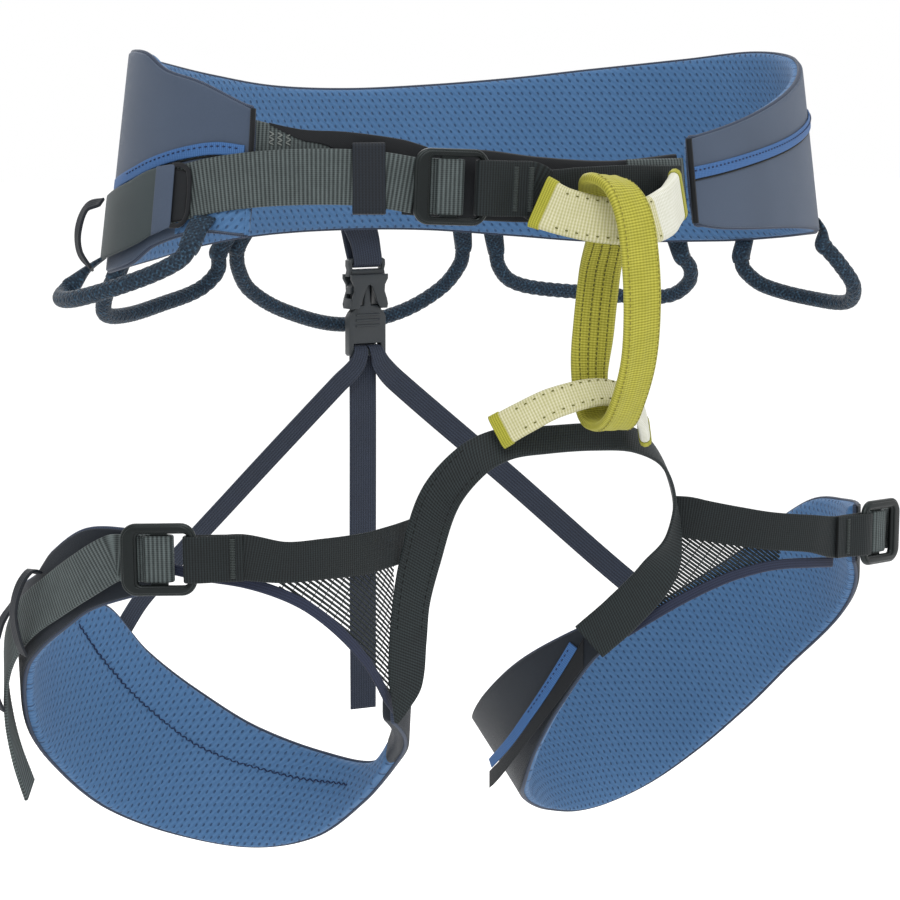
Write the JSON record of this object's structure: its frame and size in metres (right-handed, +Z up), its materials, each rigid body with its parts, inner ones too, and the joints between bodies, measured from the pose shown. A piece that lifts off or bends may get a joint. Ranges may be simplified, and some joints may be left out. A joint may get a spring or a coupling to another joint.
{
  "type": "climbing harness",
  "caption": "Sit harness for climbing: padded waist belt and leg loops with slide buckles, sleeved tie-in points, a sewn belay loop, swinging gear loops and elastic rear risers.",
  "frame": {"origin": "middle of the waist belt at the load webbing's height, on the wearer's centre line", "axes": "+Z up, -Y the wearer's front (belay loop side), +X the wearer's left"},
  "size_m": [0.4292, 0.298, 0.361],
  "materials": {
    "accent": "bright blue woven tape",
    "belay_lime": "lime structural webbing",
    "binding": "navy woven binding tape",
    "buckle_metal": "black anodised, semi-gloss",
    "buckle_plastic": "black moulded acetal",
    "elastic": "slate woven elastic",
    "foam": "closed-cell foam, hidden between liner and shell",
    "gear_loop": "teal-navy braided sheath",
    "liner": "blue 3-D spacer mesh",
    "mesh": "dark see-through net",
    "shell": "smooth slate laminated fabric",
    "sleeve_cream": "cream woven wear sleeve with lime edges",
    "webbing_dark": "near-black nylon webbing",
    "webbing_grey": "cross-ribbed grey nylon webbing"
  },
  "bodies": {
    "harness": {"belt_foam": "foam", "belt_liner": "liner", "belt_shell": "shell", "belt_tongue_left": "webbing_dark", "belt_tongue_right": "webbing_dark", "belt_trim_left": "accent", "belt_trim_right": "accent", "hip_keeper_loop": "elastic", "left_leg_binding": "binding", "left_leg_buckle_frame": "buckle_metal", "left_leg_foam": "foam", "left_leg_keeper": "elastic", "left_leg_liner": "liner", "left_leg_mesh": "mesh", "left_leg_shell": "shell", "left_leg_strap": "webbing_dark", "left_leg_webbing": "webbing_grey", "leg_bridge_webbing": "webbing_dark", "lower_tie_in_sleeve": "sleeve_cream", "rear_buckle_plug": "buckle_plastic", "rear_buckle_socket": "buckle_plastic", "rear_riser_left": "elastic", "rear_riser_right": "elastic", "rear_riser_tail": "elastic", "rear_strap": "elastic", "right_leg_binding": "binding", "right_leg_buckle_frame": "buckle_metal", "right_leg_foam": "foam", "right_leg_keeper_lower": "elastic", "right_leg_keeper_upper": "elastic", "right_leg_liner": "liner", "right_leg_mesh": "mesh", "right_leg_shell": "shell", "right_leg_strap": "webbing_dark", "right_leg_webbing": "webbing_grey", "tie_in_webbing": "webbing_dark", "tie_in_webbing_end": "webbing_dark", "upper_tie_in_sleeve": "sleeve_cream", "waist_buckle_frame": "buckle_metal", "waist_webbing": "webbing_grey", "webbing_tunnel": "shell"},
    "gear_loop_front_right": {"gear_loop_front_right": "gear_loop"},
    "gear_loop_rear_right": {"gear_loop_rear_right": "gear_loop"},
    "gear_loop_centre": {"gear_loop_centre": "gear_loop"},
    "gear_loop_rear_left": {"gear_loop_rear_left": "gear_loop"},
    "gear_loop_front_left": {"gear_loop_front_left": "gear_loop"},
    "waist_slider": {"waist_buckle_slider": "buckle_metal", "waist_webbing_fold": "webbing_grey"},
    "right_leg_slider": {"right_leg_buckle_slider": "buckle_metal", "right_leg_webbing_fold": "webbing_grey"},
    "left_leg_slider": {"left_leg_buckle_slider": "buckle_metal", "left_leg_webbing_fold": "webbing_grey"},
    "waist_keeper": {"waist_keeper_sleeve": "elastic"},
    "prong_left": {"rear_buckle_prong_left": "buckle_plastic"},
    "prong_right": {"rear_buckle_prong_right": "buckle_plastic"},
    "belay_loop": {"belay_loop": "belay_lime"}
  },
  "joints": [
    {"name": "gear_loop_front_right_swing", "type": "hinge", "parent": "harness", "child": "gear_loop_front_right", "pos_m": [-0.167, -0.00525, -0.03575], "axis": [-0.1767, 0.953, -0.2461], "range_deg": [0, 60]},
    {"name": "gear_loop_rear_right_swing", "type": "hinge", "parent": "harness", "child": "gear_loop_rear_right", "pos_m": [-0.09375, 0.0995, -0.043], "axis": [0.8981, 0.4327, 0.0787], "range_deg": [0, 60]},
    {"name": "gear_loop_centre_swing", "type": "hinge", "parent": "harness", "child": "gear_loop_centre", "pos_m": [0.01125, 0.11625, -0.0395], "axis": [0.9993, -0.029, -0.0249], "range_deg": [0, 60]},
    {"name": "gear_loop_rear_left_swing", "type": "hinge", "parent": "harness", "child": "gear_loop_rear_left", "pos_m": [0.12175, 0.083, -0.0445], "axis": [0.8136, -0.5804, -0.0341], "range_deg": [0, 60]},
    {"name": "gear_loop_front_left_swing", "type": "hinge", "parent": "harness", "child": "gear_loop_front_left", "pos_m": [0.16375, -0.00925, -0.04025], "axis": [-0.0546, -0.9897, 0.1325], "range_deg": [0, 60]},
    {"name": "waist_slider_slide", "type": "slide", "parent": "harness", "child": "waist_slider", "axis": [0.9449, -0.325, -0.04], "range_m": [-0.0024, 0.0024]},
    {"name": "right_leg_slider_slide", "type": "slide", "parent": "harness", "child": "right_leg_slider", "axis": [0.7998, -0.5999, 0.02], "range_m": [-0.0024, 0.0024]},
    {"name": "left_leg_slider_slide", "type": "slide", "parent": "harness", "child": "left_leg_slider", "axis": [-0.9502, -0.3101, 0.03], "range_m": [-0.0024, 0.0024]},
    {"name": "waist_keeper_slide", "type": "slide", "parent": "harness", "child": "waist_keeper", "axis": [0.8752, -0.4837, 0], "range_m": [-0.003, 0.001]},
    {"name": "prong_left_pinch", "type": "hinge", "parent": "harness", "child": "prong_left", "pos_m": [0.0264, 0.12, -0.067], "axis": [0, -1, 0], "range_deg": [0, 6], "stiffness_Nm_per_rad": 0.02},
    {"name": "prong_right_pinch", "type": "hinge", "parent": "harness", "child": "prong_right", "pos_m": [0.0146, 0.12, -0.067], "axis": [0, -1, 0], "range_deg": [-6, 0], "stiffness_Nm_per_rad": 0.02},
    {"name": "belay_loop_sway", "type": "hinge", "parent": "harness", "child": "belay_loop", "pos_m": [-0.019, -0.1265, -0.0035], "axis": [0, 1, 0], "range_deg": [-0.8, 6]}
  ],
  "couplings": [
    {"joint": "prong_right_pinch", "follows": "prong_left_pinch", "ratio": -1}
  ]
}
